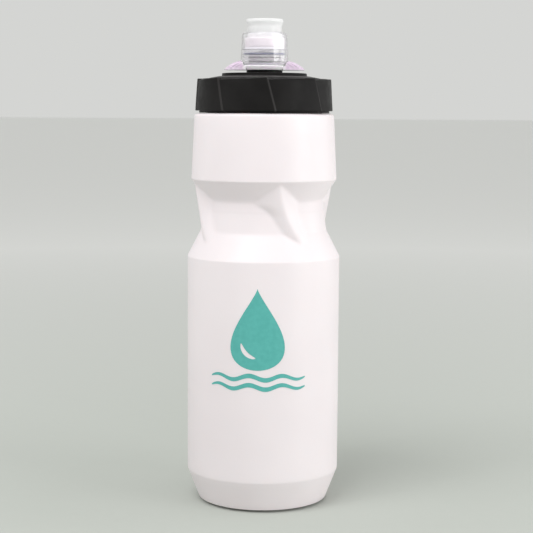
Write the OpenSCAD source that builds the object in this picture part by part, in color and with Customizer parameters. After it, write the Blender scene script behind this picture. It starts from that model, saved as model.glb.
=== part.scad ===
// Sports squeeze bottle: a soft blow-moulded body with a twisted grip, a screw cap,
// a quarter-turn lockout dial and a self-sealing drinking valve.
// +Z is up and the origin is the centre of the resting face. Units are millimetres.

/* [Bottle body] */
// Outer diameter of the main barrel, which a cycle bottle cage holds
barrel_d = 74; // [73:0.5:75]
// Height where the main barrel ends and the grip begins
barrel_top_z = 120; // [100:1:120]
// Height of the tapered foot under the barrel
foot_h = 15.6; // [12:0.2:18]
// Radius where the tapered foot meets its rounded edge
foot_r = 31.2; // [30:0.2:32]
// Wall thickness of the moulded body
wall = 1.2; // [1:0.1:1.4]

/* [Grip] */
// Height of the grip, from the barrel's edge to the upper edge
grip_h = 37.2; // [36:0.2:40]
// Outer radius of the waist inside the grip
waist_r = 28.7; // [28:0.1:29.5]
// Number of twisted ridges round the grip
ridge_count = 4; // [3:1:5]
// Rise of a ridge's flank, in mm out for each mm round
ridge_slope = 0.42; // [0.35:0.01:0.5]

/* [Upper body and neck] */
// Outer radius at the grip's upper edge
upper_edge_r = 35.2; // [34.5:0.1:36]
// Outer radius just under the cap
upper_top_r = 33.7; // [33:0.1:34.5]
// Height of the upper body, from the grip to the shoulder
upper_h = 31.2; // [28:0.2:34]
// Outer radius of the neck
neck_r = 27.6; // [27.4:0.1:27.6]
// Height of the neck above the shoulder
neck_h = 13.6; // [13:0.1:14]

/* [Screw thread] */
// Rise of the screw thread in one turn
thread_lead = 5; // [4.5:0.1:5.5]
// How far the neck's thread stands out
thread_depth = 1.35; // [1.2:0.05:1.4]

/* [Cap] */
// Outer radius of the cap's skirt at its lower edge
skirt_low_r = 33.2; // [32.8:0.1:33.4]
// Outer radius of the cap's skirt at its top
skirt_top_r = 31.9; // [31.6:0.1:32.2]
// Number of slanted panels round the skirt
panel_count = 8; // [6:1:12]
// Radius of the raised disc that carries the dial
plateau_r = 20.4; // [19:0.2:22]

/* [Dial and mouthpiece] */
// Distance from the axis to the tip of a dial wing
wing_reach = 19.3; // [17:0.1:21]
// Quarter turn between locked and open
dial_travel = 90; // [60:5:90]
// Widest outer radius of the clear barrel
mouth_r = 11.5; // [11.4:0.1:12]
// Outer radius of the soft valve's collar
collar_r = 8.2; // [8:0.1:8.2]
// Outer radius of the soft valve's lip
lip_r = 8.95; // [8.7:0.05:9.2]

/* [Hidden] */
$fn = 96;

// Heights, from the base up
grip_top_z = barrel_top_z + grip_h;
shoulder_z = grip_top_z + upper_h;
rim_z = shoulder_z + neck_h;
cap_roof_z = rim_z + 1;              // underside of the cap's roof, on top of the gasket
cap_top_z = cap_roof_z + 1.7;
dome_z = cap_top_z + 1.4;
plateau_z = dome_z + 1.7;
dial_z = plateau_z + 1.5;            // underside of the dial
post_top_z = dial_z + 7.5;
dial_plate_z = post_top_z + 0.65;    // underside of the dial's ported plate
dial_top_z = dial_plate_z + 1.2;
seal_z = dial_z + 6.9;               // lower side of the collar's seal groove
mouth_z = dial_z + 2.2;              // lower edge of the clear barrel
barrel_step_z = dial_top_z + 0.35;
mouth_top_z = mouth_z + 15.7;
lip_z = mouth_top_z + 6.4;

// Radii
barrel_r = barrel_d / 2;
bore_r = neck_r - 1.7;
skirt_in_r = neck_r + thread_depth + 0.4;
plateau_foot_r = plateau_r + 0.8;
post_base_r = 8.65;
post_r = 7.6;
post_bore_r = 5;
dial_bore_r = post_r + 0.08;
dial_collar_r = 10;
mouth_bore_r = dial_collar_r + 0.1;
valve_pocket_r = 9.8;
valve_bore_r = 6.9;

// Screw thread
thread_z = shoulder_z + 4.6;   // middle of the neck's thread where it starts
thread_drop = 1.4;             // how far the closed cap's thread sits below the neck's

// Small parts
corner = 1;                // rounding of the body's creases
groove_h = 1.4;            // height of the post's seal groove
ring_groove_h = 1.2;       // height of the collar's seal groove
rim_step = 0.5;            // how far the skirt's top stands above the ring inside it
lug_half = 8;              // half the angle of the dial's stop lug
lug_play = 1;              // angular play at each end of the dial's travel
port_half = 35;            // half the angle of a flow port
front = -90;               // polar angle of the bottle's front

// ---- Helpers -------------------------------------------------------------

function unit(v) = v / norm(v);

// One corner of an outline, given as [r, z, rounding], as the points of its arc.
function corner_arc(before, at, after, steps) =
    let (a = [at[0], at[1]], u = unit([before[0], before[1]] - a), v = unit([after[0], after[1]] - a),
         half = acos(u * v) / 2, reach = at[2] / tan(half), centre = a + unit(u + v) * at[2] / sin(half),
         from = a + u * reach - centre, turn = cross(u, v) > 0 ? -(180 - 2 * half) : 180 - 2 * half)
    [for (i = [0:steps]) let (t = turn * i / steps)
        centre + [from[0] * cos(t) - from[1] * sin(t), from[0] * sin(t) + from[1] * cos(t)]];

// An outline of [r, z, rounding] corners, with each rounded corner drawn as an arc.
function rounded(p, steps = 4) =
    [for (i = [0:len(p) - 1])
        each p[i][2] > 0
            ? corner_arc(p[(i + len(p) - 1) % len(p)], p[i], p[(i + 1) % len(p)], steps)
            : [[p[i][0], p[i][1]]]];

module turned(outline, steps = 4) {
    rotate_extrude() polygon(rounded(outline, steps));
}

// A ring of rectangular section over part of a turn.
module sector(r_in, r_out, z, h, from, sweep) {
    rotate([0, 0, from]) rotate_extrude(angle = sweep) translate([r_in, z]) square([r_out - r_in, h]);
}

// A closed solid through a row of rings that all have the same number of points.
module lofted(rings) {
    n = len(rings[0]);
    m = len(rings);
    polyhedron(
        points = [for (ring = rings) each ring],
        faces = concat(
            [[for (j = [0:n - 1]) j]],
            [[for (j = [n - 1:-1:0]) (m - 1) * n + j]],
            [for (i = [0:m - 2], j = [0:n - 1]) [i * n + j, (i + 1) * n + (j + 1) % n, i * n + (j + 1) % n]],
            [for (i = [0:m - 2], j = [0:n - 1]) [i * n + j, (i + 1) * n + j, (i + 1) * n + (j + 1) % n]]
        ));
}

function polar(r, a, z) = [r * cos(a), r * sin(a), z];

// A right-handed screw thread. Its root is sunk into the wall, and its height fades out at both ends.
module thread(root_r, crest_r, z, from, sweep) {
    step = 10;
    fade = 30;
    root_half = 0.95;
    crest_half = 0.5;
    sink = crest_r > root_r ? -0.35 : 0.35;
    lofted([for (t = [0:step:sweep])
        let (full = min(1, (t + 4) / fade, (sweep - t + 4) / fade),
             r = root_r + (crest_r - root_r) * full,
             a = from + t,
             mid = z + thread_lead * a / 360,
             ring = [polar(root_r + sink, a, mid - root_half * full), polar(r, a, mid - crest_half * full),
                     polar(r, a, mid + crest_half * full), polar(root_r + sink, a, mid + root_half * full)])
        crest_r < root_r ? ring : [for (i = [3:-1:0]) ring[i]]]);
}

// ---- Bottle body ---------------------------------------------------------

// Side of the body from the foot to the shoulder, as [r, z, rounding].
side = [
    [foot_r, 1.6, 2.4], [barrel_r, foot_h, 3], [barrel_r, barrel_top_z, corner],
    [waist_r + 1.7, barrel_top_z + 13, 6], [waist_r, barrel_top_z + 21, 6],
    [waist_r, barrel_top_z + 27.6, 2], [upper_edge_r, grip_top_z, corner],
    [upper_top_r, shoulder_z, 2.2]];

// Outer radius of the grip at a height above the barrel, ridges left out.
function grip_r(h) = lookup(h, [
    [0, barrel_r], [13, waist_r + 1.7], [21, waist_r], [27.6, waist_r], [grip_h, upper_edge_r]]);

// A ridge's crest leans over faster towards its lower end.
ridge_low = 6.6;
ridge_high = 36.6;
ridge_sink = 0.85;
ridge_round = 1.5;
function ridge_lean(h) = let (d = 34 - h) 13.3 + 0.321 * d + 0.0159 * d * d;
function ridge_r(h) = waist_r + 3.9 + 1.3 * pow(max(0, h - 20) / 14, 2);
function ridge_fall(d) = ridge_slope * (sqrt(d * d + ridge_round * ridge_round) - ridge_round);

// One slice of a ridge: a rounded crest, two flanks and a back that stays inside the wall.
function ridge_slice(h, turn) =
    let (base = grip_r(h) - ridge_sink, rise = max(0.15, ridge_r(h) - base), z = barrel_top_z + h,
         reach = sqrt(pow(rise / ridge_slope + ridge_round, 2) - ridge_round * ridge_round),
         lean = front + turn + ridge_lean(h), degrees = 180 / PI / grip_r(h))
    concat(
        [for (s = [-1, -0.66, -0.33, -0.12, 0.12, 0.33, 0.66, 1])
            polar(base + rise - ridge_fall(s * reach), lean + s * reach * degrees, z)],
        [for (s = [0.6, 0.2, -0.2, -0.6]) polar(base - 0.15, lean + s * reach * degrees, z)]);

module ridge(turn) {
    slices = 22;
    lofted([for (i = [0:slices - 1])
        ridge_slice(ridge_low + (ridge_high - ridge_low) * i / (slices - 1), turn)]);
}

module body_shell() {
    outside = concat(
        [[0, 3.2, 0], [16, 3.2, 6], [24.5, 0, 1.5], [29.6, 0, 1.5]], side,
        [[neck_r, shoulder_z, 0.8], [neck_r, rim_z, 0.5], [bore_r, rim_z, 0.5]]);
    inside = concat(
        [[bore_r, shoulder_z - wall, 0.6], [upper_top_r - wall, shoulder_z - wall, 1.2]],
        [for (i = [len(side) - 2:-1:1]) [side[i][0] - wall, side[i][1], side[i][2]]],
        [[foot_r - wall, 1.6 + wall, 1.6], [24.5, wall + 0.4, 1.2], [16.4, 3.2 + wall, 4], [0, 3.2 + wall, 0]]);
    turned(concat(outside, inside));
}

module bottle_body() {
    color("white") {
        body_shell();
        for (i = [0:ridge_count - 1]) ridge(i * 360 / ridge_count);
        thread(neck_r, neck_r + thread_depth, thread_z, 0, 540);
    }
}

// ---- Cap -----------------------------------------------------------------

module cap_shell() {
    retain_r = bore_r - 0.5;
    turned([
        [0, post_top_z - 1.4, 0], [post_bore_r, post_top_z - 1.4, 0], [post_bore_r, dome_z - 1, 0],
        [7.4, dome_z - 1, 0.6], [plateau_r - 1.6, dome_z, 0.8], [plateau_foot_r + 0.4, cap_roof_z + 1, 1],
        [retain_r - 1, cap_roof_z, 0.3], [retain_r - 1, cap_roof_z - 2, 0.3], [retain_r, cap_roof_z - 2, 0.3],
        [retain_r, cap_roof_z, 0], [skirt_in_r, cap_roof_z, 0.3], [skirt_in_r, shoulder_z + 0.6, 0.2],
        [skirt_low_r - 2.1, shoulder_z + 0.6, 0.2], [skirt_low_r - 2.1, shoulder_z + 1.5, 0],
        [skirt_low_r, shoulder_z + 1.5, 0.3], [skirt_top_r, cap_top_z + rim_step, 0.8],
        [plateau_r + 6.5, cap_top_z + rim_step, 0.2], [plateau_r + 6.3, cap_top_z, 0],
        [plateau_foot_r, dome_z, 0.5], [plateau_r, dome_z - 0.2, 0.2], [plateau_r, plateau_z, 0.4],
        [post_base_r, plateau_z, 0.3], [post_base_r, dial_z - 0.1, 0.2], [post_r, dial_z - 0.1, 0],
        [post_r, dial_z + 2.6, 0], [post_r - 1.2, dial_z + 2.6, 0], [post_r - 1.2, dial_z + 2.6 + groove_h, 0],
        [post_r, dial_z + 2.6 + groove_h, 0], [post_r, dial_z + 5, 0], [post_r + 0.3, dial_z + 5.3, 0],
        [post_r + 0.3, dial_z + 5.6, 0], [post_r, dial_z + 5.9, 0], [post_r, post_top_z, 0.3], [0, post_top_z, 0]]);
}

// One slanted edge between two panels of the skirt.
module panel_edge(turn) {
    slant = 3.3;
    low = [shoulder_z + 1.8, skirt_low_r - 0.1, front + turn + slant];
    high = [cap_top_z + rim_step - 0.7, skirt_top_r - 0.05, front + turn - slant];
    lofted([for (end = [low, high])
        [polar(end[1] - 0.6, end[2] - 1.4, end[0]), polar(end[1] + 0.35, end[2], end[0]),
         polar(end[1] - 0.6, end[2] + 1.4, end[0])]]);
}

// The two flow ports through a plate.
module ports(z, h, from) {
    for (side_angle = [0, 180])
        sector(2, 4.8, z, h, from + side_angle - port_half, 2 * port_half);
}

module screw_cap() {
    panel_offset = 6;
    color("#1c1b1d") difference() {
        union() {
            cap_shell();
            sector(post_r - 0.3, post_r + 0.7, dial_z - 0.3, 2, 90 - lug_half, 2 * lug_half);
            thread(skirt_in_r, neck_r + 0.55, thread_z - thread_drop, 100, 450);
            for (i = [0:panel_count - 1]) panel_edge(panel_offset + i * 360 / panel_count);
        }
        ports(post_top_z - 2, 3, 0);
    }
}

module cap_gasket() {
    color("#d8d8d2") turned([
        [bore_r - 0.3, rim_z + 0.03, 0.2], [skirt_in_r - 0.25, rim_z + 0.03, 0.2],
        [skirt_in_r - 0.25, cap_roof_z - 0.03, 0.2], [bore_r - 0.3, cap_roof_z - 0.03, 0.2]], 2);
}

// A round seal of circular section.
module o_ring(centre_r, section_r, z) {
    rotate_extrude() translate([centre_r, z]) circle(section_r);
}

module post_seal() {
    color("#26282e") o_ring(post_r - 0.57, 0.6, dial_z + 2.6 + groove_h / 2);
}

module shutter_seal() {
    color("#3c4048") difference() {
        turned([[0, post_top_z, 0], [post_r - 0.6, post_top_z, 0], [post_r - 0.6, post_top_z + 0.6, 0.2],
                [0, post_top_z + 0.6, 0]]);
        ports(post_top_z - 1, 3, 0);
    }
}

// ---- Lockout dial --------------------------------------------------------

// Outside of the clear barrel, from its lower edge up, grown by a clearance.
function mouth_side(gap) = [
    [mouth_r - 0.6 + gap, mouth_z - gap, 0.3], [mouth_r - 0.1 + gap, mouth_z + 2, 1],
    [mouth_r + gap, mouth_z + 3.3, 4], [mouth_r - 0.4 + gap, mouth_z + 9.9, 8],
    [mouth_r - 0.7 + gap, mouth_top_z + gap, 1.7]];

// A wing seen from the side: flat below, with a bowed top that falls to the tip.
module wing_side() {
    top = 4.6;
    start = 9.8;
    polygon(concat(
        [[8.6, dial_z + 0.05], [wing_reach - 0.3, dial_z + 0.05], [wing_reach, dial_z + 0.3]],
        [for (t = [0.9:-0.1:0]) [start + (wing_reach - start) * t, dial_z + 0.3 + (top - 0.3) * (1 - t * t)]],
        [[8.6, dial_z + top]]));
}

module wing() {
    tip_r = 4.4;
    difference() {
        intersection() {
            rotate([90, 0, 0]) linear_extrude(height = 20, center = true) wing_side();
            translate([0, 0, dial_z - 1]) linear_extrude(height = 8) {
                polygon([[8, -6.4], [8, 6.4], [wing_reach - tip_r, tip_r], [wing_reach - tip_r, -tip_r]]);
                translate([wing_reach - tip_r, 0]) circle(tip_r);
            }
        }
        turned(concat([[0, mouth_z - 0.05, 0]], mouth_side(0.35), [[0, mouth_top_z + 0.35, 0]]));
    }
}

module dial_ring() {
    turned([
        [dial_bore_r, dial_z, 0.2], [dial_collar_r + 0.1, dial_z, 0.3], [dial_collar_r + 0.7, mouth_z - 0.1, 0.3],
        [dial_collar_r, mouth_z - 0.1, 0], [dial_collar_r, seal_z, 0], [dial_collar_r - 0.85, seal_z, 0],
        [dial_collar_r - 0.85, seal_z + ring_groove_h, 0], [dial_collar_r, seal_z + ring_groove_h, 0],
        [dial_collar_r, dial_top_z, 0.5], [0, dial_top_z, 0], [0, dial_plate_z, 0], [dial_bore_r, dial_plate_z, 0],
        [dial_bore_r, dial_z + 6.2, 0], [dial_bore_r + 0.42, dial_z + 5.9, 0], [dial_bore_r + 0.42, dial_z + 5, 0],
        [dial_bore_r, dial_z + 4.7, 0]]);
}

module lockout_dial() {
    color("#cbb6d6") difference() {
        union() {
            dial_ring();
            wing();
            mirror([1, 0, 0]) wing();
        }
        ports(dial_plate_z - 1, 3, 90);
        sector(dial_bore_r - 0.5, post_r + 0.85, dial_z - 1, 2.9, 90 - lug_half - lug_play - dial_travel,
               2 * lug_half + 2 * lug_play + dial_travel);
    }
}

module collar_seal() {
    color("#26282e") o_ring(dial_collar_r - 0.38, 0.44, seal_z + ring_groove_h / 2);
}

// ---- Mouthpiece ----------------------------------------------------------

module valve_barrel() {
    pocket_top_z = mouth_top_z - 2.5;
    color("#e9eef0", 0.5) turned(concat(
        [[mouth_bore_r, mouth_z, 0.2]], mouth_side(0),
        [[collar_r + 0.1, mouth_top_z, 0.4], [collar_r + 0.1, pocket_top_z, 0], [valve_pocket_r, pocket_top_z, 0],
         [valve_pocket_r, barrel_step_z, 0], [mouth_bore_r, barrel_step_z - 0.2, 0]]));
}

module valve_retainer() {
    color("#f2eef2") turned([
        [valve_bore_r + 0.7, barrel_step_z, 0.2], [valve_pocket_r - 0.02, barrel_step_z, 0.2],
        [valve_pocket_r - 0.02, barrel_step_z + 1, 0], [valve_bore_r + 0.7, barrel_step_z + 1, 0.2]], 2);
}

module jet_valve() {
    flange_z = barrel_step_z + 1;
    membrane_z = mouth_top_z + 0.4;
    slit = 0.12;
    color("#f5f5f4") difference() {
        turned([
            [valve_bore_r, flange_z, 0.3], [valve_pocket_r - 0.05, flange_z, 0.3],
            [valve_pocket_r - 0.05, mouth_top_z - 2.55, 0.4], [collar_r, mouth_top_z - 2.55, 0],
            [collar_r, mouth_top_z + 3.2, 3], [lip_r, lip_z - 1.3, 0.6], [lip_r - 0.2, lip_z, 0.5],
            [valve_bore_r + 0.5, lip_z, 0.5], [valve_bore_r, lip_z - 3, 2], [valve_bore_r, membrane_z + 2, 0.6],
            [3, membrane_z, 4], [0, membrane_z, 0], [0, membrane_z - 1, 0], [3, membrane_z - 1, 4],
            [valve_bore_r, membrane_z + 0.6, 0.4]]);
        for (turn = [0, 90]) rotate([0, 0, turn]) translate([-4, -slit / 2, membrane_z - 2]) cube([8, slit, 4]);
    }
}

bottle_body();
screw_cap();
cap_gasket();
post_seal();
shutter_seal();
lockout_dial();
collar_seal();
valve_barrel();
valve_retainer();
jet_valve();
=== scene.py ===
"""The looks of a sports squeeze bottle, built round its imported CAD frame.

Lengths are in millimetres until a mesh is made, which is when they become metres.
+Z is up, the printed front faces -Y, and +X is on the right when facing the front.
An angle, in degrees, starts at the front and grows towards +X.
"""

import math

import bmesh
import bpy
from mathutils import Matrix, Vector, noise


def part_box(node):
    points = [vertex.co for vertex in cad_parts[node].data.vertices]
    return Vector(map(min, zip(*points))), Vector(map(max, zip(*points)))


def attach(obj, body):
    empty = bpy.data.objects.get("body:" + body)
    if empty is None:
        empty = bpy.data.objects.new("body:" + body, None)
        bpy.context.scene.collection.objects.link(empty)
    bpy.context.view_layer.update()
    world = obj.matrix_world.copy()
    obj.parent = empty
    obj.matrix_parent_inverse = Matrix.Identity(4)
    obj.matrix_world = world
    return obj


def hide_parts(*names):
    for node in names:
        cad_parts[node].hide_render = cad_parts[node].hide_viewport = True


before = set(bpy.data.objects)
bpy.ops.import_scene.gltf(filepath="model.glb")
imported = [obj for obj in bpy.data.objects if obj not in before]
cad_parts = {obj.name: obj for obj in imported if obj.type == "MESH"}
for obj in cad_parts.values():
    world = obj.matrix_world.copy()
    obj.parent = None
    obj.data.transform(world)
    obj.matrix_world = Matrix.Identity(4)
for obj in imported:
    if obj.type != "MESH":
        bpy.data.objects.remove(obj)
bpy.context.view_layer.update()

MM = 0.001


# ---- Sizes, read from the frame --------------------------------------------

def corners_of(node):
    """Lowest and highest corner of a CAD node, in millimetres."""
    low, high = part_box(node)
    return low / MM, high / MM


body_low, body_high = corners_of("bottle_body")
cap_low, cap_high = corners_of("screw_cap")
dial_low, dial_high = corners_of("lockout_dial")
mouth_low, mouth_high = corners_of("valve_barrel")
valve_low, valve_high = corners_of("jet_valve")

# Bottle body. It stands on the base's ring, and the dimple is the shallow dome inside that ring.
BARREL_R = body_high.x
RIM_Z = body_high.z
WALL = 1.2
FOOT_R = 31.2
FOOT_H = 15.6
FOOT_GAP = 1.2
BASE_RING_IN_R = 23.8
BASE_RING_R = 26.4
DIMPLE_R = 16
DIMPLE_H = 3.2
NECK_R = 27.6
BORE_R = NECK_R - 1.7
SHOULDER_Z = RIM_Z - 13.6
GRIP_TOP_Z = SHOULDER_Z - 31.2
BARREL_TOP_Z = GRIP_TOP_Z - 37.2
UPPER_EDGE_R = 35.2
UPPER_TOP_R = 33.7
WAIST_R = 28.7

# Screw thread
THREAD_LEAD = 5
THREAD_DEPTH = 1.35
THREAD_SINK = 0.35
THREAD_Z = SHOULDER_Z + 4.6
THREAD_DROP = 1.4
THREAD_START = 90

# Cap. The skirt's radii are those of the raised edges of its panels, which stand just outside the CAD's
# round skirt. The middles of the panels lie inside it.
SKIRT_LOW_Z = cap_low.z + 0.9
SKIRT_LOW_R = 33.5
SKIRT_TOP_R = 32.3
SKIRT_LIP_R = SKIRT_LOW_R - 2.1
SKIRT_IN_R = NECK_R + THREAD_DEPTH + 0.4
ROOF_Z = RIM_Z + 1
CAP_TOP_Z = ROOF_Z + 1.7
SKIRT_TOP_Z = CAP_TOP_Z + 0.5
DOME_Z = CAP_TOP_Z + 1.4
PLATEAU_Z = DOME_Z + 1.7
PLATEAU_R = 20.4
POST_TOP_Z = cap_high.z
POST_R = 7.6

# Ports that the drink flows through, in the post's top and in the dial's plate
PORT_IN_R = 2
PORT_OUT_R = 4.8
PORT_HALF_ANGLE = 35

# Dial and mouthpiece
DIAL_Z = dial_low.z
DIAL_TOP_Z = dial_high.z
DIAL_BORE_R = POST_R + 0.08
DIAL_COLLAR_R = 10
WING_REACH = dial_high.x
MOUTH_Z = mouth_low.z
MOUTH_TOP_Z = mouth_high.z
MOUTH_R = mouth_high.x
VALVE_Z = valve_low.z
VALVE_FLANGE_R = valve_high.x
LIP_Z = valve_high.z
COLLAR_R = 8.2
LIP_R = 8.95
VALVE_BORE_R = 6.9
SLIT_HALF_W = 0.06
SLIT_REACH = 4

# An outline's point that is nearer to the axis than this makes one point, not a ring.
AXIS_R = 1e-6
# Points of a boolean's result that are nearer than this are merged.
WELD = 0.002


# ---- Outlines ----------------------------------------------------------------

def mix(a, b, t):
    return a + (b - a) * t


def clamp(t, low=0.0, high=1.0):
    return max(low, min(high, t))


def smooth(t):
    """A soft step from 0 to 1."""
    t = clamp(t)
    return t * t * (3 - 2 * t)


def at(angle, r, z):
    """The point at an angle from the front, a distance from the axis and a height."""
    a = math.radians(angle)
    return (r * math.sin(a), -r * math.cos(a), z)


def arc(before, corner, after, radius, step=12):
    """Points of the arc that rounds a corner of an outline, one for each step of its turn, in degrees."""
    u, v = (before - corner).normalized(), (after - corner).normalized()
    half = u.angle(v) / 2
    centre = corner + (u + v).normalized() * radius / math.sin(half)
    start = corner + u * radius / math.tan(half) - centre
    sweep = math.copysign(math.pi - 2 * half, u.y * v.x - u.x * v.y)
    count = max(2, math.ceil(math.degrees(abs(sweep)) / step))
    return [centre + Matrix.Rotation(sweep * i / count, 2) @ start for i in range(count + 1)]


def outline(corners, spacing, closed=False):
    """The points of an outline given as (r, z, rounding) corners, no further apart than spacing."""
    flat = [Vector(c[:2]) for c in corners]
    count = len(corners)
    sparse = []
    for i, (r, z, rounding) in enumerate(corners):
        inside = closed or 0 < i < count - 1
        if rounding and inside:
            sparse += arc(flat[i - 1], flat[i], flat[(i + 1) % count], rounding)
        else:
            sparse.append(flat[i])
    if closed:
        sparse.append(sparse[0])
    points = [sparse[0]]
    for a, b in zip(sparse, sparse[1:]):
        pieces = max(1, math.ceil((b - a).length / spacing))
        points += [a.lerp(b, k / pieces) for k in range(1, pieces + 1)]
    return points[:-1] if closed else points


# ---- Meshes --------------------------------------------------------------------

def bridge(a, count_a, b, count_b):
    """Faces between two rings of points that start at a and b. A ring of one point is a pole."""
    if count_a == 1:
        return [(a, b + (i + 1) % count_b, b + i) for i in range(count_b)]
    if count_b == 1:
        return [(a + i, a + (i + 1) % count_a, b) for i in range(count_a)]
    return [(a + i, a + (i + 1) % count_a, b + (i + 1) % count_b, b + i) for i in range(count_a)]


def skin(rings, wrap=False):
    """Points and faces of a closed surface through rings. With wrap, the last ring meets the first."""
    points, starts, faces = [], [], []
    for ring in rings:
        starts.append(len(points))
        points += ring
    pairs = [(i, i + 1) for i in range(len(rings) - 1)]
    if wrap:
        pairs.append((len(rings) - 1, 0))
    for i, j in pairs:
        faces += bridge(starts[i], len(rings[i]), starts[j], len(rings[j]))
    if not wrap:
        for i in (0, len(rings) - 1):
            if len(rings[i]) > 1:
                faces.append(tuple(range(starts[i], starts[i] + len(rings[i]))))
    return points, faces


def piece(name, *solids, sharp=40):
    """One object from closed solids, each given as points and faces in millimetres."""
    mesh = bpy.data.meshes.new(name)
    points, faces = [], []
    for solid_points, solid_faces in solids:
        base = len(points)
        points += [(x * MM, y * MM, z * MM) for x, y, z in solid_points]
        faces += [tuple(base + i for i in face) for face in solid_faces]
    mesh.from_pydata(points, [], faces)
    work = bmesh.new()
    work.from_mesh(mesh)
    bmesh.ops.recalc_face_normals(work, faces=work.faces)
    work.to_mesh(mesh)
    work.free()
    made = bpy.data.objects.new(name, mesh)
    bpy.context.scene.collection.objects.link(made)
    shade(made, sharp)
    return made


def shade(made, sharp):
    """Smooth shading, with edges over the given angle kept sharp."""
    made.data.polygons.foreach_set("use_smooth", [True] * len(made.data.polygons))
    made.data.set_sharp_from_angle(angle=math.radians(sharp))


def ring_of(r, z, count, shape=None):
    """The points that one point of an outline makes round the axis. shape(angle, r, z) may move them."""
    if r < AXIS_R:
        return [(0, 0, z)]
    places = [(360 * i / count, r, z) for i in range(count)]
    return [at(*(shape(*place) if shape else place)) for place in places]


def turned(points, count, closed=False):
    """A solid of revolution of an outline."""
    return skin([ring_of(r, z, count) for r, z in points], wrap=closed)


def combine(target, tool, operation, sharp=40):
    """Applies a boolean of one piece on another and removes the tool."""
    modifier = target.modifiers.new(operation, "BOOLEAN")
    modifier.operation = operation
    modifier.solver = "EXACT"
    modifier.object = tool
    depsgraph = bpy.context.evaluated_depsgraph_get()
    result = bpy.data.meshes.new_from_object(target.evaluated_get(depsgraph))
    work = bmesh.new()
    work.from_mesh(result)
    bmesh.ops.remove_doubles(work, verts=work.verts, dist=WELD * MM)
    bmesh.ops.dissolve_degenerate(work, edges=work.edges, dist=WELD * MM)
    work.to_mesh(result)
    work.free()
    target.modifiers.clear()
    target.data = result
    bpy.data.objects.remove(tool)
    shade(target, sharp)


def sector(r_in, r_out, low, high, middle, half, steps=12):
    """A block over part of a turn, from angle middle - half to middle + half."""
    rings = []
    for i in range(steps + 1):
        a = middle - half + 2 * half * i / steps
        rings.append([at(a, r_in, low), at(a, r_out, low), at(a, r_out, high), at(a, r_in, high)])
    return skin(rings)


def screw_thread(root_r, crest_r, z, start, sweep, step=4, fade=30):
    """A right-handed thread whose root is sunk in its wall and whose height fades at both ends."""
    sunk_r = root_r + math.copysign(THREAD_SINK, root_r - crest_r)
    rings = []
    for t in range(0, sweep + 1, step):
        full = min(1, (t + step) / fade, (sweep - t + step) / fade)
        r = mix(root_r, crest_r, full)
        soft = mix(root_r, crest_r, full * 0.85)
        middle = z + THREAD_LEAD * t / 360
        upper_half = [(r, 0.4), (soft, 0.58), (root_r, 0.92), (sunk_r, 0.95)]
        section = [(x, -y) for x, y in reversed(upper_half)] + upper_half
        rings.append([at(start + t, x, middle + y * full) for x, y in section])
    return skin(rings)


def port(low, high, angle):
    """The shape of a flow port, to cut out of a plate."""
    return piece("port", sector(PORT_IN_R, PORT_OUT_R, low, high, angle, PORT_HALF_ANGLE))


# ---- Bottle body ---------------------------------------------------------------

# Twisted ridges. Heights are above the barrel's top, the angle is the crest's at its top, and the lean and
# the curl carry the crest round on its way down. Slopes are those of the flanks.
RIDGE_EVERY = 90
RIDGE_LOW_H = 5
RIDGE_TOP_H = 34
RIDGE_ANGLE = 13
RIDGE_LEAN = 0.14
RIDGE_CURL = 0.0262
RIDGE_RISE = 3.9
RIDGE_FLARE = 1.3
RIDGE_BLEND = 0.6
GENTLE_SLOPE = 0.43
STEEP_SLOPE = 0.64
STEEP_SLOPE_HIGH = 0.36

# Unevenness of the wall: its mean and its change, in depth, and its size round the bottle and up it.
MOULD_SINK = 0.085
MOULD_WAVE = 0.04
MOULD_WAVES_ROUND = 1.3
MOULD_WAVE_H = 45

# Fine lines that the mould left, up each side and across the base: height or depth, and half width,
# the first in degrees and the second in millimetres.
PARTING_RISE = 0.04
PARTING_HALF = 0.7
PINCH_DEPTH = 0.4
PINCH_HALF = 0.6
PINCH_REACH = 18

BODY_COLUMNS = 360


def ridge(angle, h):
    """Radius of the nearest twisted ridge, at an angle and a height above the barrel.

    One flank is steeper than the other, and it spreads where it runs up into the undercut.
    """
    down = RIDGE_TOP_H - h
    crest_angle = RIDGE_ANGLE + RIDGE_LEAN * down + RIDGE_CURL * down * down
    crest_r = WAIST_R + RIDGE_RISE + RIDGE_FLARE * max(0, (h - 20) / 14) ** 1.5 - 2 * max(0, h - 36) ** 2
    crest_r += 0.05 * clamp(16 - h, 0, 10)
    away = (angle - crest_angle + RIDGE_EVERY / 2) % RIDGE_EVERY - RIDGE_EVERY / 2
    d = math.radians(away) * crest_r
    steep = mix(STEEP_SLOPE, STEEP_SLOPE_HIGH, smooth((h - 20) / 7))
    slope = mix(steep, GENTLE_SLOPE, smooth(0.5 + d / 3))
    rounding = mix(3, 0.8, smooth((h - 10) / 20))
    return crest_r - slope * (math.hypot(d, rounding) - rounding)


def ridged(r, angle, z):
    """A plain grip radius raised to the ridges."""
    h = z - BARREL_TOP_Z
    if not RIDGE_LOW_H < h < GRIP_TOP_Z - BARREL_TOP_Z:
        return r
    ridge_r = ridge(angle, h)
    t = clamp(0.5 + 0.5 * (r - ridge_r) / RIDGE_BLEND)
    return mix(ridge_r, r, t) + RIDGE_BLEND * t * (1 - t)


def moulding_waves(angle, z):
    """The slight unevenness of a blow-moulded wall, never proud of the true surface."""
    a = math.radians(angle)
    x, y = math.cos(a) * MOULD_WAVES_ROUND, math.sin(a) * MOULD_WAVES_ROUND
    return -MOULD_SINK - MOULD_WAVE * noise.noise(Vector((x, y, z / MOULD_WAVE_H)))


def parting_line(angle):
    """The fine raised line where the two halves of the mould met, at each side."""
    off = 90 - abs((angle + 90) % 180 - 90)
    return PARTING_RISE * math.exp(-(off / PARTING_HALF) ** 2)


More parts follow.
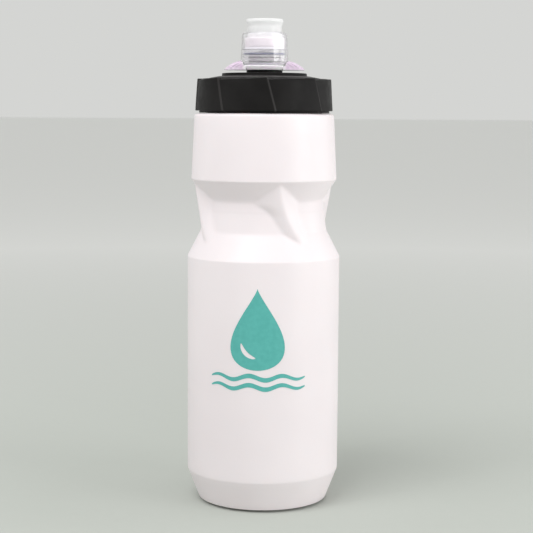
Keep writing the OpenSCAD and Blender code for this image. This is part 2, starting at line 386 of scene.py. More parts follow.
def pinch_line(angle, r):
    """Depth of the line across the base where the mould pinched the bottle off."""
    across = r * math.cos(math.radians(angle))
    return PINCH_DEPTH * math.exp(-(across / PINCH_HALF) ** 2) * smooth((PINCH_REACH - r) / 4)


def body_outside(angle, r, z):
    r = ridged(r, angle, z)
    if z < SHOULDER_Z - 1 and r > FOOT_R - 2:
        r += moulding_waves(angle, z) + parting_line(angle)
    if r < PINCH_REACH and z < FOOT_H / 2:
        z -= pinch_line(angle, r)
    return angle, r, z


def body_inside(angle, r, z):
    r = ridged(r + WALL, angle, z) - WALL
    if FOOT_H < z < SHOULDER_Z - 3:
        r += moulding_waves(angle, z)
    return angle, r, z


def grip_corners(inset=0):
    """The grip's plain outline, without its ridges."""
    return [(WAIST_R + 1.8 - inset, BARREL_TOP_Z + 12.6, 4),
            (WAIST_R - 0.2 - inset, BARREL_TOP_Z + 27.5, 3)]


def body_outside_outline():
    """From the middle of the base up the outside to just above the grip."""
    base_top = (BARREL_R, FOOT_H + 5, 0)
    barrel_top = (BARREL_R, BARREL_TOP_Z - 3, 0)
    base = outline([(0, DIMPLE_H, 0), (DIMPLE_R, DIMPLE_H, 6), (BASE_RING_IN_R, 0, 1.5),
                    (BASE_RING_R, 0, 0.4), (BASE_RING_R + 1.1, FOOT_GAP, 0.4), (FOOT_R + 0.2, FOOT_GAP, 0.5),
                    (BARREL_R, FOOT_H, 3), base_top], 3.4)
    barrel = outline([base_top, barrel_top], 14)
    grip = outline([barrel_top, (BARREL_R, BARREL_TOP_Z, 1), *grip_corners(), (UPPER_EDGE_R, GRIP_TOP_Z, 1),
                    (UPPER_EDGE_R - 0.1, GRIP_TOP_Z + 2, 0)], 0.6)
    return base + barrel[1:] + grip[1:]


def upper_outline():
    """From just above the grip over the shoulder, up the neck and back down inside."""
    return outline([
        (UPPER_EDGE_R - 0.1, GRIP_TOP_Z + 2, 0), (UPPER_TOP_R, SHOULDER_Z - 0.1, 1.8),
        (NECK_R + 3.2, SHOULDER_Z + 0.45, 0.5), (NECK_R, SHOULDER_Z + 0.45, 0.5), (NECK_R, RIM_Z, 0.5),
        (BORE_R, RIM_Z, 0.5), (BORE_R, SHOULDER_Z - WALL, 0.6), (UPPER_TOP_R - WALL, SHOULDER_Z - WALL, 1.2),
        (UPPER_EDGE_R - WALL - 0.1, GRIP_TOP_Z + 2, 0)], 6)


def body_inside_outline():
    """From just above the grip down the inside to the middle of the base."""
    barrel_top = (BARREL_R - WALL, BARREL_TOP_Z - 3, 0)
    grip = outline([(UPPER_EDGE_R - WALL - 0.1, GRIP_TOP_Z + 2, 0), (UPPER_EDGE_R - WALL, GRIP_TOP_Z, 1),
                    *reversed(grip_corners(WALL)), (BARREL_R - WALL, BARREL_TOP_Z, 1), barrel_top], 1.6)
    floor = outline([barrel_top, (BARREL_R - WALL, FOOT_H, 3), (FOOT_R - WALL, 1.6 + WALL, 1.6),
                     (BASE_RING_IN_R + 0.7, WALL + 0.4, 1.2), (DIMPLE_R + 0.4, DIMPLE_H + WALL, 4),
                     (0, DIMPLE_H + WALL, 0)], 14)
    return grip + floor[1:]


def bottle_body():
    rings = []
    for points, shape in ((body_outside_outline(), body_outside), (upper_outline()[1:-1], body_outside),
                          (body_inside_outline(), body_inside)):
        rings += [ring_of(r, z, BODY_COLUMNS, shape) for r, z in points]
    thread = screw_thread(NECK_R, NECK_R + THREAD_DEPTH, THREAD_Z, THREAD_START, 540)
    return piece("squeeze_body", skin(rings), thread)


# ---- Printed mark: a plain drop over two waves ---------------------------------

MARK_ANGLE = -4
MARK_OUT_R = BARREL_R
MARK_IN_R = BARREL_R - 0.3
DROP_LOW_Z = 69.5
DROP_H = 38.5
DROP_HALF_W = 13
WAVE_Z = (66, 61.6)
WAVE_HALF_W = 23.5
WAVE_COUNT = 3
WAVE_H = 1.0
STRIP_W = 1.3


def drop_outline(count=72):
    """A drop with its point at the top, as (across, up) points."""
    points = []
    for i in range(count):
        t = 2 * math.pi * i / count
        across = math.sin(t) * abs(math.sin(t / 2)) ** 1.6
        points.append((across * DROP_HALF_W / 0.69, DROP_LOW_Z + DROP_H * (1 + math.cos(t)) / 2))
    return points


def glint_outline(count=24):
    """The curved gap low on one side of the drop, where the bottle shows through."""
    centre_z, outer, thick = DROP_LOW_Z + 13.5, 8.8, 2.1
    points = []
    for side in (1, -1):
        for i in range(count + 1):
            t = i / count if side == 1 else 1 - i / count
            a = math.radians(mix(185, 265, t))
            r = outer - thick / 2 + side * thick / 2 * math.sin(math.pi * t) ** 0.6
            points.append((r * math.cos(a), centre_z + r * math.sin(a)))
    return points[:count + 1] + points[count + 2:-1]


def wave_outline(z, count=64):
    """One wave, thinning to its ends."""
    top, bottom = [], []
    for i in range(count + 1):
        t = i / count
        across = mix(-WAVE_HALF_W, WAVE_HALF_W, t)
        middle = z + WAVE_H * math.sin(2 * math.pi * WAVE_COUNT * t)
        half = 0.25 + 0.85 * math.sin(math.pi * t) ** 0.5
        top.append((across, middle + half))
        bottom.append((across, middle - half))
    return top + bottom[::-1]


def printed_mark():
    """Ink on the barrel: a flat outline, filled, cut into strips and wrapped round as a closed film."""
    curve = bpy.data.curves.new("mark_outline", "CURVE")
    curve.dimensions = "2D"
    curve.fill_mode = "BOTH"
    for points in (drop_outline(), glint_outline(), *(wave_outline(z) for z in WAVE_Z)):
        spline = curve.splines.new("POLY")
        spline.points.add(len(points) - 1)
        for target, (x, y) in zip(spline.points, points):
            target.co = (x, y, 0, 1)
        spline.use_cyclic_u = True
    flat = bpy.data.objects.new("mark_outline", curve)
    work = bmesh.new()
    source = flat.to_mesh()
    work.from_mesh(source)
    bmesh.ops.remove_doubles(work, verts=work.verts, dist=0.001)
    cut = -WAVE_HALF_W - 0.4
    while cut < WAVE_HALF_W + 0.6:
        everything = work.verts[:] + work.edges[:] + work.faces[:]
        bmesh.ops.bisect_plane(work, geom=everything, dist=0.0005,
                               plane_co=(cut, 0, 0), plane_no=(1, 0, 0))
        cut += STRIP_W
    extruded = bmesh.ops.extrude_face_region(work, geom=work.faces[:])
    back = {v for v in extruded["geom"] if isinstance(v, bmesh.types.BMVert)}
    for v in work.verts:
        r = MARK_IN_R if v in back else MARK_OUT_R
        v.co = Vector(at(MARK_ANGLE + math.degrees(v.co.x / BARREL_R), r, v.co.y)) * MM
    bmesh.ops.recalc_face_normals(work, faces=work.faces)
    flat.to_mesh_clear()
    mesh = bpy.data.meshes.new("printed_mark")
    work.to_mesh(mesh)
    work.free()
    bpy.data.objects.remove(flat)
    made = bpy.data.objects.new("printed_mark", mesh)
    bpy.context.scene.collection.objects.link(made)
    shade(made, 40)
    return made


# ---- Cap -------------------------------------------------------------------------

# Panels of the skirt, with angles in degrees. Each steps out at its edge, sags between its edges, and its
# top drops away from its edge.
PANELS = 8
PANEL_START = 6.75
PANEL_SLANT = 6.7
PANEL_SAG = 0.6
PANEL_STEP = 0.5
PANEL_DROP = 0.9
# Where a panel's columns of points stand, as shares of its width. They crowd at its stepped edge.
PANEL_COLUMNS = [0, 0.01, 0.035, 0.07, 0.13, 0.2, 0.28, 0.36, 0.44, 0.52, 0.6, 0.68, 0.76, 0.84, 0.9,
                 0.94, 0.96, 0.97]
# Turn of the cap's thread past the neck's, how far it goes round, and its crest.
CAP_THREAD_TURN = 100
CAP_THREAD_SWEEP = 450
CAP_THREAD_R = NECK_R + 0.55


def cap_inside_corners():
    """Up the post's channel, then under the roof and down inside the skirt."""
    channel_r, retain_r = 5, BORE_R - 0.5
    return [(0, POST_TOP_Z - 1.4, 0), (channel_r, POST_TOP_Z - 1.4, 0.2), (channel_r, DOME_Z - 1, 0.3),
            (7.4, DOME_Z - 1, 0.6), (PLATEAU_R - 1.6, DOME_Z, 0.8), (PLATEAU_R + 1.2, ROOF_Z + 1, 1),
            (retain_r - 1, ROOF_Z, 0.3), (retain_r - 1, ROOF_Z - 2, 0.3), (retain_r, ROOF_Z - 2, 0.3),
            (retain_r, ROOF_Z, 0.1), (SKIRT_IN_R, ROOF_Z, 0.3), (SKIRT_IN_R, cap_low.z, 0.2)]


def cap_outside_corners():
    """Up the skirt, over the sloping ring and the raised disc, and down to the post's foot."""
    seat_r = 8.65
    return [(SKIRT_LIP_R, cap_low.z, 0.2), (SKIRT_LIP_R, SKIRT_LOW_Z, 0.1), (SKIRT_LOW_R, SKIRT_LOW_Z, 0.35),
            (SKIRT_TOP_R, SKIRT_TOP_Z, 0.4), (PLATEAU_R + 6.5, SKIRT_TOP_Z, 0.2),
            (PLATEAU_R + 6.3, SKIRT_TOP_Z + 0.25, 0.1), (PLATEAU_R + 1.6, DOME_Z + 0.25, 0.1),
            (PLATEAU_R, DOME_Z - 0.1, 0.9), (PLATEAU_R, PLATEAU_Z, 0.35), (seat_r, PLATEAU_Z, 0.3),
            (seat_r, DIAL_Z - 0.1, 0.2)]


def post_corners():
    """Up the post, past the groove for its seal and the bead that holds the dial on."""
    groove_r, bead_r = POST_R - 1.2, POST_R + 0.3
    return [(POST_R, DIAL_Z - 0.1, 0.1), (POST_R, DIAL_Z + 2.6, 0.1), (groove_r, DIAL_Z + 2.6, 0.1),
            (groove_r, DIAL_Z + 4, 0.1), (POST_R, DIAL_Z + 4, 0.1), (POST_R, DIAL_Z + 5, 0.1),
            (bead_r, DIAL_Z + 5.3, 0.1), (bead_r, DIAL_Z + 5.6, 0.1), (POST_R, DIAL_Z + 5.9, 0.1),
            (POST_R, POST_TOP_Z, 0.3), (0, POST_TOP_Z, 0)]


def cap_outline():
    return outline([*cap_inside_corners(), *cap_outside_corners(), *post_corners()], 2.4)


def panelled(share, r, z):
    """How a point of the cap's skirt moves to make its stepped, slightly flat panels."""
    skirt = smooth((r - SKIRT_TOP_R + 2.4) / 1.6) if z > SKIRT_LOW_Z - 0.05 else 0
    inward = PANEL_SAG * 4 * share * (1 - share) + PANEL_STEP * (1 - share)
    height = smooth((z - SKIRT_LOW_Z) / (SKIRT_TOP_Z - SKIRT_LOW_Z) * 1.4 - 0.4)
    return r - inward * skirt, z - PANEL_DROP * (1 - share) * skirt * height


def screw_cap():
    columns = [(k, share) for k in range(PANELS) for share in PANEL_COLUMNS]
    width = 360 / PANELS
    rings = []
    for r, z in cap_outline():
        if r < AXIS_R:
            rings.append([(0, 0, z)])
            continue
        up = clamp((z - SKIRT_LOW_Z) / (SKIRT_TOP_Z - SKIRT_LOW_Z))
        turn = PANEL_START + PANEL_SLANT * (0.5 - up)
        rings.append([at(turn + width * (k + share), *panelled(share, r, z)) for k, share in columns])
    thread_z = THREAD_Z - THREAD_DROP + THREAD_LEAD * CAP_THREAD_TURN / 360
    thread = screw_thread(SKIRT_IN_R, CAP_THREAD_R, thread_z, THREAD_START + CAP_THREAD_TURN,
                          CAP_THREAD_SWEEP)
    lug = sector(POST_R - 0.3, POST_R + 0.7, DIAL_Z - 0.3, DIAL_Z + 1.7, 180, 8)
    made = piece("panelled_cap", skin(rings), thread, lug, sharp=32)
    for side in (90, -90):
        combine(made, port(POST_TOP_Z - 2, POST_TOP_Z + 1, side), "DIFFERENCE", sharp=32)
    return made


# ---- Lockout dial ------------------------------------------------------------------

WING_TIP_R = 4.4
WING_ROOT_X = 8.8
WING_ROOT_HALF_W = 6.4
WING_TOP = 4.6
WING_EDGE_H = 0.5
WING_RINGS = 60

# Slanting grooves in the wings' flanks: depth, spacing up the flank, and lean.
GRIP_GROOVE_DEPTH = 0.2
GRIP_GROOVE_EVERY = 1.3
GRIP_GROOVE_LEAN = 0.62


def mouth_side(gap):
    """Outside of the clear barrel from its lower edge up, grown by a gap."""
    return [(MOUTH_R - 0.6 + gap, MOUTH_Z - gap, 0.3), (MOUTH_R - 0.1 + gap, MOUTH_Z + 2, 1),
            (MOUTH_R + gap, MOUTH_Z + 3.3, 4), (MOUTH_R - 0.4 + gap, MOUTH_Z + 9.9, 8),
            (MOUTH_R - 0.7 + gap, MOUTH_TOP_Z + gap, 1.7)]


def wing_section(x):
    """Half width and height of a wing at a distance from the axis."""
    tip_x = WING_REACH - WING_TIP_R
    if x < tip_x:
        half = mix(WING_ROOT_HALF_W, WING_TIP_R, (x - 8) / (tip_x - 8))
    else:
        half = math.sqrt(max(0.3, WING_TIP_R ** 2 - (x - tip_x) ** 2))
    u = clamp((x - 9.8) / (WING_REACH - 9.8))
    return half, WING_EDGE_H + (WING_TOP - WING_EDGE_H) * (1 - u * u)


def finger_groove(x, up, half, height):
    """Depth of the slanting grooves at a height on a wing's flank. They fade at its edges and its tip."""
    groove = smooth(1.5 * math.sin(2 * math.pi * (up + GRIP_GROOVE_LEAN * x) / GRIP_GROOVE_EVERY) - 0.3)
    groove *= GRIP_GROOVE_DEPTH * smooth((up - 0.7) / 0.4)
    return groove * smooth((height - up) / 0.6) * smooth((half - 1.5) / 1.5)


def wing(side, count=44, count_below=6):
    """One finger wing: flat below with a small rim, a bowed top, and slanting grooves on its flanks."""
    low_z = DIAL_Z + 0.05
    rings = []
    for i in range(WING_RINGS + 1):
        x = mix(WING_ROOT_X, WING_REACH, math.sin(math.pi / 2 * i / WING_RINGS))
        half, height = wing_section(x)
        inset = 0.25 * smooth((half - 0.6) / 1.2)
        ring = []
        for k in range(count + 1):
            t = math.pi * k / count
            wide = math.copysign(abs(math.cos(t)) ** 0.45, math.cos(t))
            up = height * math.sin(t) ** 0.45
            rim = inset * smooth((0.75 - up) / 0.3)
            reach = half - finger_groove(x, up, half, height) - inset + rim
            ring.append((side * x, wide * reach, low_z + up))
        first, last = ring[0][1], ring[-1][1]
        ring += [(side * x, mix(last, first, k / count_below), low_z) for k in range(1, count_below)]
        rings.append(ring)
    return skin(rings)


def dial_outline():
    """The collar, with its seal's groove outside, its plate on top and the bead's groove inside."""
    seal_r, seal_low, seal_high = DIAL_COLLAR_R - 0.85, DIAL_Z + 6.9, DIAL_Z + 8.1
    bead_r = DIAL_BORE_R + 0.42
    plate_z = DIAL_TOP_Z - 1.2
    return outline([
        (DIAL_BORE_R, DIAL_Z, 0.2), (DIAL_COLLAR_R + 0.1, DIAL_Z, 0.3),
        (DIAL_COLLAR_R + 0.7, MOUTH_Z - 0.1, 0.3), (DIAL_COLLAR_R, MOUTH_Z - 0.1, 0.1),
        (DIAL_COLLAR_R, seal_low, 0.1), (seal_r, seal_low, 0.1), (seal_r, seal_high, 0.1),
        (DIAL_COLLAR_R, seal_high, 0.1), (DIAL_COLLAR_R, DIAL_TOP_Z, 0.5), (0, DIAL_TOP_Z, 0),
        (0, plate_z, 0), (DIAL_BORE_R, plate_z, 0.1), (DIAL_BORE_R, DIAL_Z + 6.2, 0.1),
        (bead_r, DIAL_Z + 5.9, 0.1), (bead_r, DIAL_Z + 5, 0.1), (DIAL_BORE_R, DIAL_Z + 4.7, 0.1)],
        2.2, closed=True)


def lockout_dial():
    points = dial_outline()
    axis = [i for i, p in enumerate(points) if p.x < AXIS_R]
    ring = points[axis[1]:] + points[:axis[0] + 1]
    made = piece("lockout_dial_wings", turned(ring, 128), sharp=35)
    wings = piece("wings", wing(1), wing(-1))
    room = outline([(0, MOUTH_Z - 0.2, 0), (MOUTH_R - 1.2, MOUTH_Z - 0.2, 0), *mouth_side(0.35),
                    (0, MOUTH_TOP_Z + 1, 0)], 2.5)
    combine(wings, piece("room", turned(room, 128)), "DIFFERENCE")
    combine(made, wings, "UNION", sharp=35)
    for side in (0, 180):
        combine(made, port(DIAL_TOP_Z - 2.2, DIAL_TOP_Z + 1, side), "DIFFERENCE", sharp=35)
    pocket = sector(DIAL_BORE_R - 0.5, POST_R + 0.85, DIAL_Z - 1, DIAL_Z + 1.9, 135, 54)
    combine(made, piece("pocket", pocket), "DIFFERENCE", sharp=35)
    return made


# ---- Mouthpiece --------------------------------------------------------------------

def valve_barrel():
    bore_r, throat_r, pocket_r = DIAL_COLLAR_R + 0.1, COLLAR_R + 0.1, VALVE_FLANGE_R + 0.05
    step_z = DIAL_TOP_Z + 0.35
    pocket_top_z = MOUTH_TOP_Z - 2.5
    points = outline([
        (bore_r, MOUTH_Z, 0.2), *mouth_side(0), (throat_r, MOUTH_TOP_Z, 0.4),
        (throat_r, pocket_top_z, 0.1), (pocket_r, pocket_top_z, 0.1), (pocket_r, step_z, 0.1),
        (bore_r, step_z - 0.2, 0.1)], 1.2, closed=True)
    return piece("clear_barrel", turned(points, 160, closed=True), sharp=50)


def slit(angle, low, high):
    """A thin blade, to cut a slit through the membrane."""
    corners = ((-SLIT_HALF_W, -SLIT_REACH), (SLIT_HALF_W, -SLIT_REACH),
               (SLIT_HALF_W, SLIT_REACH), (-SLIT_HALF_W, SLIT_REACH))
    rings = [[at(angle + math.degrees(math.atan2(x, y)), math.hypot(x, y), z) for x, y in corners]
             for z in (low, high)]
    return piece("slit", skin(rings))


def jet_valve():
    """The soft valve: a flange, a collar and a flared lip, and a hollow membrane cut by two slits."""
    membrane_z = MOUTH_TOP_Z + 0.4
    membrane_low_z = membrane_z - 1
    flange_top_z = MOUTH_TOP_Z - 2.55
    points = outline([
        (0, membrane_low_z, 0), (3, membrane_low_z, 4), (VALVE_BORE_R, membrane_z + 0.6, 0.4),
        (VALVE_BORE_R, VALVE_Z, 0.3), (VALVE_FLANGE_R, VALVE_Z, 0.3), (VALVE_FLANGE_R, flange_top_z, 0.4),
        (COLLAR_R, flange_top_z, 0.2), (COLLAR_R, MOUTH_TOP_Z + 3.2, 3), (LIP_R, LIP_Z - 1.3, 0.6),
        (LIP_R - 0.2, LIP_Z, 0.5), (VALVE_BORE_R + 0.5, LIP_Z, 0.5), (VALVE_BORE_R, LIP_Z - 3, 2),
        (VALVE_BORE_R, membrane_z + 2, 0.6), (3, membrane_z, 4), (0, membrane_z, 0)], 0.8)
    made = piece("soft_jet_valve", turned(points, 144), sharp=50)
    for angle in (0, 90):
        combine(made, slit(angle, membrane_z - 2, membrane_z + 2), "DIFFERENCE", sharp=50)
    return made


# ---- Materials -----------------------------------------------------------------------

class Look:
    """A material whose nodes vary over the surface. Places are in metres and scales in cycles a metre."""

    def __init__(self, name, **inputs):
        self.material = bpy.data.materials.new(name)
        self.material.use_nodes = True
        self.tree = self.material.node_tree
        self.shader = self.tree.nodes["Principled BSDF"]
        self.place = self.tree.nodes.new("ShaderNodeTexCoord").outputs["Object"]
        for label, value in inputs.items():
            self.shader.inputs[label.replace("_", " ")].default_value = value

    def link(self, out, into):
        self.tree.links.new(out, into)

    def noise(self, scale, detail=3, stretch=(1, 1, 1)):
        """A noise value over the surface, drawn out along the axes where stretch is small."""
        mapping = self.tree.nodes.new("ShaderNodeMapping")
        mapping.inputs["Scale"].default_value = stretch
        self.link(self.place, mapping.inputs["Vector"])
        texture = self.tree.nodes.new("ShaderNodeTexNoise")
        texture.inputs["Scale"].default_value = scale
        texture.inputs["Detail"].default_value = detail
        self.link(mapping.outputs["Vector"], texture.inputs["Vector"])
        return texture.outputs["Fac"]

    def colour(self, value, low, high):
        """Base colour that follows a value, between two colours."""
        ramp = self.tree.nodes.new("ShaderNodeValToRGB")
        ramp.color_ramp.elements[0].position = 0.35
        ramp.color_ramp.elements[1].position = 0.65
        ramp.color_ramp.elements[0].color = (*low, 1)
        ramp.color_ramp.elements[1].color = (*high, 1)
        self.link(value, ramp.inputs["Fac"])
        self.link(ramp.outputs["Color"], self.shader.inputs["Base Color"])

    def roughness(self, value, low, high):
        """Roughness that follows a value, between two numbers."""
        self.link(self.spread(value, 0.3, 0.7, low, high), self.shader.inputs["Roughness"])

    def bump(self, *layers):
        """Relief from (value, depth in millimetres) layers."""
        normal = None
        for value, depth in layers:
            node = self.tree.nodes.new("ShaderNodeBump")
            node.inputs["Distance"].default_value = depth * MM
            self.link(value, node.inputs["Height"])
            if normal is not None:
                self.link(normal, node.inputs["Normal"])
            normal = node.outputs["Normal"]
        self.link(normal, self.shader.inputs["Normal"])

    def spread(self, value, low, high, to_low, to_high):
        """A value stretched from one span to another."""
        node = self.tree.nodes.new("ShaderNodeMapRange")
        ends = {"From Min": low, "From Max": high, "To Min": to_low, "To Max": to_high}
        for label, number in ends.items():
            node.inputs[label].default_value = number
        self.link(value, node.inputs["Value"])
        return node.outputs["Result"]

    def math(self, operation, a, b=0, clamped=False):
        """A math node on two values, each a socket or a number."""
        node = self.tree.nodes.new("ShaderNodeMath")
        node.operation = operation
        node.use_clamp = clamped
        for socket, value in zip(node.inputs, (a, b)):
            if isinstance(value, (int, float)):
                socket.default_value = value
            else:
                self.link(value, socket)
        return node.outputs[0]

    def sum(self, a, b):
        """Two values added, kept between 0 and 1."""
        return self.math("ADD", a, b, clamped=True)

    def steps(self, value, *stops):
        """A value that jumps to a new number at each (position, number) stop."""
        ramp = self.tree.nodes.new("ShaderNodeValToRGB")
        ramp.color_ramp.interpolation = "CONSTANT"
        while len(ramp.color_ramp.elements) < len(stops):
            ramp.color_ramp.elements.new(0.5)
        for element, (position, number) in zip(ramp.color_ramp.elements, stops):
            element.position = position
            element.color = (number, number, number, 1)
        self.link(value, ramp.inputs["Fac"])
        return ramp.outputs["Color"]

    def split_place(self):
        """The three coordinates of a point."""
        node = self.tree.nodes.new("ShaderNodeSeparateXYZ")
        self.link(self.place, node.inputs[0])
        return node.outputs

    def height(self):
        return self.split_place()["Z"]

    def from_axis(self):
        """Distance from the bottle's axis, in metres."""
        flat = self.tree.nodes.new("ShaderNodeVectorMath")
        flat.operation = "MULTIPLY"
        flat.inputs[1].default_value = (1, 1, 0)
        self.link(self.place, flat.inputs[0])
        size = self.tree.nodes.new("ShaderNodeVectorMath")
        size.operation = "LENGTH"
        self.link(flat.outputs[0], size.inputs[0])
        return size.outputs["Value"]

    def pass_lamps(self):
        """Lets the lamps' light through to what is behind, as a thin clear wall does."""
        path = self.tree.nodes.new("ShaderNodeLightPath")
        clear = self.tree.nodes.new("ShaderNodeBsdfTransparent")
        blend = self.tree.nodes.new("ShaderNodeMixShader")
        self.link(path.outputs["Is Shadow Ray"], blend.inputs[0])
        self.link(self.shader.outputs[0], blend.inputs[1])
        self.link(clear.outputs[0], blend.inputs[2])
        self.link(blend.outputs[0], self.tree.nodes["Material Output"].inputs["Surface"])


def soft_white_plastic():
    look = Look("soft_white_plastic", IOR=1.5, Subsurface_Weight=0.2, Subsurface_Radius=(1, 0.85, 0.8),
                Subsurface_Scale=0.002)
    look.colour(look.noise(18, 2), (0.835, 0.765, 0.79), (0.865, 0.795, 0.82))
    look.roughness(look.noise(160, 4, (1, 1, 0.35)), 0.36, 0.48)
    look.bump((look.noise(700, 2), 0.012), (look.noise(2600, 2), 0.006),
              (look.noise(60, 1, (1, 1, 0.4)), 0.05))
    return look.material


def beyond(look, radius, blur):
    """A value that rises from 0 to 1 at a radius about the axis, over a blur, both in millimetres."""
    return look.spread(look.from_axis(), (radius - blur / 2) * MM, (radius + blur / 2) * MM, 0, 1)


def panel_edge_highlight_mask(look):
    """A value that rises to 1 along the stepped edge of each of the cap's panels, where a highlight is
    painted.
    """
    x, y, z = look.split_place()
    turn = look.math("ARCTAN2", x, look.math("MULTIPLY", y, -1))
    share = look.math("MULTIPLY", turn, PANELS / (2 * math.pi))
    slant = look.spread(z, SKIRT_LOW_Z * MM, SKIRT_TOP_Z * MM, -0.5, 0.5)
    share = look.math("ADD", share, look.math("MULTIPLY", slant, PANEL_SLANT * PANELS / 360))
    share = look.math("FRACT", look.math("ADD", share, PANELS - PANEL_START * PANELS / 360))
    return look.math("MULTIPLY", look.spread(share, 0.955, 0.97, 0, 1), beyond(look, 30.4, 0.8))


def black_plastic():
    """Satin black, with painted highlights along the panels' stepped edges and on the cap's sloping ring."""
    look = Look("black_plastic", IOR=1.17)
    # Painted highlights: the sloping ring and the panels' stepped edges are lightened in colour, as if they
    # caught the lamps.
    ring = look.math("SUBTRACT", beyond(look, 21, 0.8), beyond(look, 26.5, 0.6))
    painted_highlights = look.sum(look.math("MULTIPLY", panel_edge_highlight_mask(look), 0.075), look.math("MULTIPLY", ring, 0.17))
    grain = look.spread(look.noise(50, 3), 0.3, 0.7, 0.35, 0.38)
    look.colour(look.sum(painted_highlights, grain), (0.007, 0.0065, 0.0065), (0.085, 0.08, 0.08))
    look.roughness(look.noise(300, 4), 0.38, 0.5)
    look.bump((look.noise(3200, 3), 0.012), (look.noise(250, 2), 0.01))
    return look.material


def clear_plastic():
    look = Look("clear_plastic", IOR=1.46, Transmission_Weight=0.89)
    look.colour(look.noise(120, 2), (0.94, 0.93, 0.96), (0.98, 0.97, 0.985))
    look.roughness(look.noise(260, 3), 0.1, 0.16)
    look.bump((look.noise(420, 2), 0.008))
    look.pass_lamps()
    return look.material


# How solid the dial looks from each height up: the foot, then the collar with its grooves.
COLLAR_BANDS = ((DIAL_Z, 0.92), (MOUTH_Z - 0.05, 0.28), (MOUTH_Z + 1.4, 0.03), (MOUTH_Z + 2.1, 0.25),
                (MOUTH_Z + 3.3, 0.06), (MOUTH_Z + 4, 0.36), (MOUTH_Z + 4.6, 0.03),
                (MOUTH_Z + 5.95, 0.14))


def lilac_plastic():
    """Milky lilac in the thick wings, paler in the foot, and clear in the thin collar."""
    look = Look("lilac_plastic", IOR=1.5, Subsurface_Weight=0.4, Subsurface_Radius=(1, 0.8, 1),
                Subsurface_Scale=0.002)
    wing_from, wing_full = (DIAL_COLLAR_R + 0.8) * MM, (DIAL_COLLAR_R + 2) * MM
    outward = look.spread(look.from_axis(), wing_from, wing_full, 0.3, 0.6)
    look.colour(look.sum(outward, look.spread(look.noise(220, 3), 0.3, 0.7, 0, 0.1)),
                (0.88, 0.84, 0.88), (0.72, 0.59, 0.73))
    look.roughness(look.noise(300, 3), 0.18, 0.28)
    look.bump((look.noise(500, 2), 0.012))
    thin_to, thick_from = (DIAL_COLLAR_R + 0.2) * MM, (DIAL_COLLAR_R + 0.5) * MM
    thick = look.spread(look.from_axis(), thin_to, thick_from, 0, 0.8)
    stops = [((z - DIAL_Z) / (DIAL_TOP_Z - DIAL_Z), alpha) for z, alpha in COLLAR_BANDS]
    bands = look.steps(look.spread(look.height(), DIAL_Z * MM, DIAL_TOP_Z * MM, 0, 1), *stops)
    look.link(look.sum(bands, thick), look.shader.inputs["Alpha"])
    return look.material


def milky_silicone():
    """Milky and faintly pink inside the clear barrel, whiter up the collar and the lip."""
    look = Look("milky_silicone", IOR=1.41, Alpha=0.86, Subsurface_Weight=0.5,
                Subsurface_Radius=(1, 1, 1), Subsurface_Scale=0.003)
    upward = look.spread(look.height(), (MOUTH_TOP_Z - 3) * MM, (MOUTH_TOP_Z - 1) * MM, 0.3, 0.6)
    look.colour(look.sum(upward, look.spread(look.noise(120, 2), 0.3, 0.7, 0, 0.1)),
                (0.83, 0.765, 0.80), (0.86, 0.86, 0.87))
    look.roughness(look.noise(260, 3), 0.25, 0.36)
    look.bump((look.noise(600, 2), 0.01))
    return look.material


def teal_ink():
    look = Look("teal_ink", IOR=1.48)
    look.colour(look.noise(500, 4), (0.083, 0.405, 0.372), (0.097, 0.44, 0.405))
    look.roughness(look.noise(700, 3), 0.4, 0.52)
    look.bump((look.noise(1800, 3), 0.006))
    return look.material


def seal_rubber(name, low, high):
    look = Look(name, IOR=1.5)
    look.colour(look.noise(300, 3), low, high)
    look.roughness(look.noise(500, 3), 0.5, 0.7)
    look.bump((look.noise(2500, 3), 0.015))
    return look.material


def floor_paint():
    """Grey-green paint round the bottle, paling far off: painted light where the lamps' light falls away."""
    look = Look("floor_paint", Roughness=0.9)
    outward = look.spread(look.from_axis(), 0.1, 1.3, 0.35, 0.65)
    look.colour(outward, FLOOR_NEAR_COLOUR, FLOOR_FAR_COLOUR)
    look.bump((look.noise(90, 4), 0.2))
    return look.material


def wear(made, material):
    """Gives a piece its one material."""
    made.data.materials.clear()
    made.data.materials.append(material)


# ---- Assembly ----------------------------------------------------------------------

def place(made, material, body, slot, *nodes):
    """Dresses a piece, rides it on its body and lets it stand for its CAD nodes."""
    wear(made, material)
    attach(made, body)
    if nodes:
        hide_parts(*nodes)


def dress_node(name, material):
    """Gives a carried-over CAD node its finished material."""
    for material_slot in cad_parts[name].material_slots:
        material_slot.material = material


def build_bottle():
    white, teal = soft_white_plastic(), teal_ink()
    place(bottle_body(), white, "bottle", "body_white", "bottle_body")
    place(printed_mark(), teal, "bottle", "body_white")
    place(screw_cap(), black_plastic(), "cap", "cap_black", "screw_cap")
    place(lockout_dial(), lilac_plastic(), "dial", "dial_lilac", "lockout_dial")
    place(valve_barrel(), clear_plastic(), "mouthpiece", "barrel_clear", "valve_barrel")
    place(jet_valve(), milky_silicone(), "mouthpiece", "valve_silicone", "jet_valve")
    dark = seal_rubber("dark_rubber", (0.016, 0.023, 0.1), (0.028, 0.038, 0.14))
    for name in ("post_seal", "shutter_seal", "collar_seal"):
        dress_node(name, dark)
    pale = seal_rubber("gasket_rubber", (0.62, 0.62, 0.58), (0.72, 0.72, 0.68))
    dress_node("cap_gasket", pale)
    ring_white = seal_rubber("white_ring_plastic", (0.76, 0.73, 0.77), (0.84, 0.81, 0.85))
    dress_node("valve_retainer", ring_white)


# ---- Stage, lights and camera --------------------------------------------------------

# Floor colours near the bottle and far off. The paler far colour is painted light that makes up for the
# lamps' fall-off.
FLOOR_NEAR_COLOUR = (0.485, 0.51, 0.475)
FLOOR_FAR_COLOUR = (0.88, 0.885, 0.87)
SKY_COLOUR = (0.66, 0.665, 0.65)
FLOOR_HALF = 30000
FLOOR_DEPTH = 20


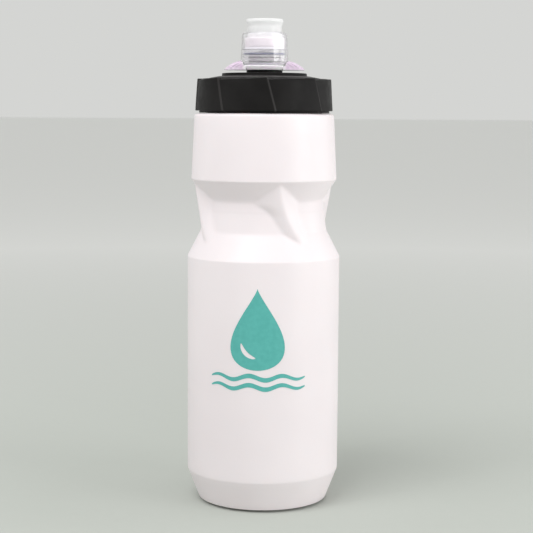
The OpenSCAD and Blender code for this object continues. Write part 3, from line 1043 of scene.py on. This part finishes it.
def build_stage():
    corners = [(x * FLOOR_HALF, y * FLOOR_HALF) for x, y in ((-1, -1), (1, -1), (1, 1), (-1, 1))]
    slab = [[(x, y, z) for x, y in corners] for z in (-FLOOR_DEPTH, 0)]
    floor = piece("floor", skin(slab))
    wear(floor, floor_paint())
    world = bpy.data.worlds.new("studio")
    world.use_nodes = True
    background = world.node_tree.nodes["Background"]
    background.inputs["Color"].default_value = (*SKY_COLOUR, 1)
    background.inputs["Strength"].default_value = 1
    bpy.context.scene.world = world
    bpy.context.scene.view_settings.view_transform = "Standard"


# Square softboxes that face the bottle's middle, in metres, with their angles in degrees and their watts.
LAMP_TARGET = Vector((0, 0, 0.13))
LAMP_DISTANCE = 1.1
LAMP_SIZE = 0.55
LAMPS = (("key", -30, 58, 5.1), ("fill_left", -60, 30, 1.9), ("side_right", 60, 8, 4),
         ("edge_right", 100, 8, 1.9))


def soft_light(name, azimuth, elevation, watts):
    flat = math.cos(math.radians(elevation))
    way = Vector(at(azimuth, flat, math.sin(math.radians(elevation))))
    position = LAMP_TARGET + way * LAMP_DISTANCE
    lamp = bpy.data.lights.new(name, "AREA")
    lamp.size = LAMP_SIZE
    lamp.energy = watts
    holder = bpy.data.objects.new(name, lamp)
    holder.location = position
    holder.rotation_mode = "QUATERNION"
    holder.rotation_quaternion = (LAMP_TARGET - position).to_track_quat("-Z", "Y")
    bpy.context.scene.collection.objects.link(holder)


# The camera, in metres and degrees, with its focal length and sensor in millimetres.
CAMERA_DISTANCE = 0.694
CAMERA_HEIGHT = 0.1904
CAMERA_SIDE = 0.0015
CAMERA_TILT = 6.25
CAMERA_ROLL = 0.33
FOCAL_LENGTH = 96.6
SENSOR_WIDTH = 36


def build_camera():
    lens = bpy.data.cameras.new("camera")
    lens.lens = FOCAL_LENGTH
    lens.sensor_width = SENSOR_WIDTH
    lens.clip_start = 0.01
    camera = bpy.data.objects.new("camera", lens)
    camera.rotation_mode = "QUATERNION"
    camera.location = (CAMERA_SIDE, -CAMERA_DISTANCE, CAMERA_HEIGHT)
    level = Matrix.Rotation(math.radians(90 - CAMERA_TILT), 3, "X")
    roll = Matrix.Rotation(math.radians(CAMERA_ROLL), 3, "Z")
    camera.rotation_quaternion = (level @ roll).to_quaternion()
    bpy.context.scene.collection.objects.link(camera)
    bpy.context.scene.camera = camera


build_camera()
build_stage()
for lamp_settings in LAMPS:
    soft_light(*lamp_settings)
build_bottle()
